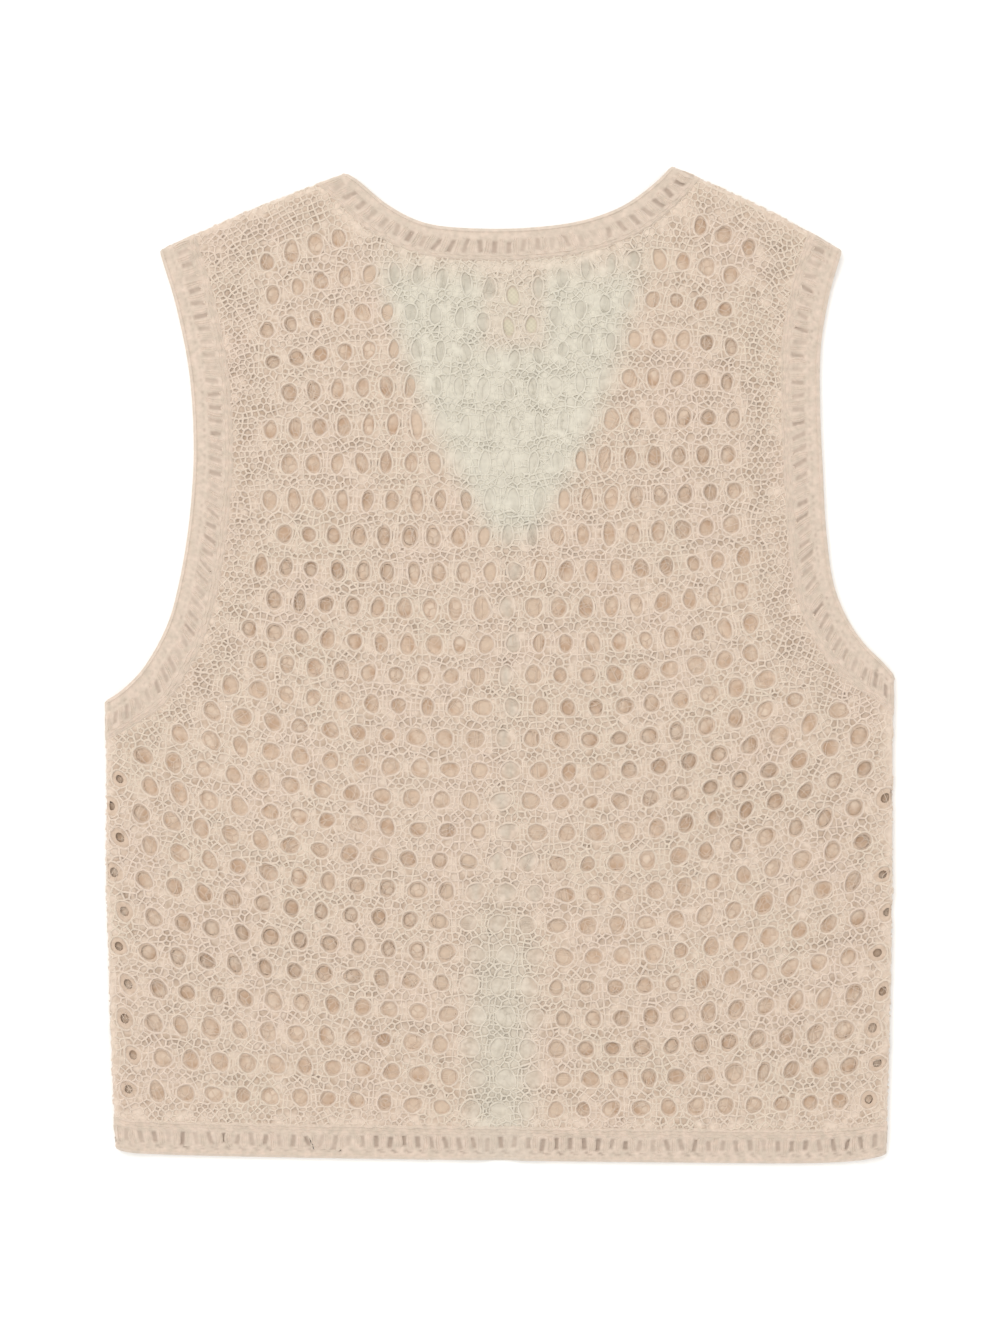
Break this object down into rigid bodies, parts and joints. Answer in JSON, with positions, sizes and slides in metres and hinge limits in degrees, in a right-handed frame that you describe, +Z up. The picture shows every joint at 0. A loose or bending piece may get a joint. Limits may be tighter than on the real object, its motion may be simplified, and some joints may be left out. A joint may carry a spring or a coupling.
{
  "type": "crochet top",
  "caption": "Sleeveless openwork knitted top with an open V front and crocheted bands, laid flat with its back up.",
  "frame": {"origin": "centre of the garment's plan on the surface that it lies on", "axes": "+Y from the hem to the neck, +Z up out of the surface, +X to the right with the back of the garment facing up"},
  "size_m": [0.4336, 0.5466, 0.0073],
  "materials": {
    "net_yarn": "soft brushed yarn, openwork",
    "band_yarn": "soft brushed yarn, crocheted",
    "label_cloth": "plain woven tab"
  },
  "bodies": {
    "root": {"back_panel": "net_yarn", "front_left_panel": "net_yarn", "front_right_panel": "net_yarn", "armhole_left_band": "band_yarn", "armhole_right_band": "band_yarn", "hem_band": "band_yarn", "neck_band": "band_yarn", "neck_label": "label_cloth"}
  },
  "joints": []
}
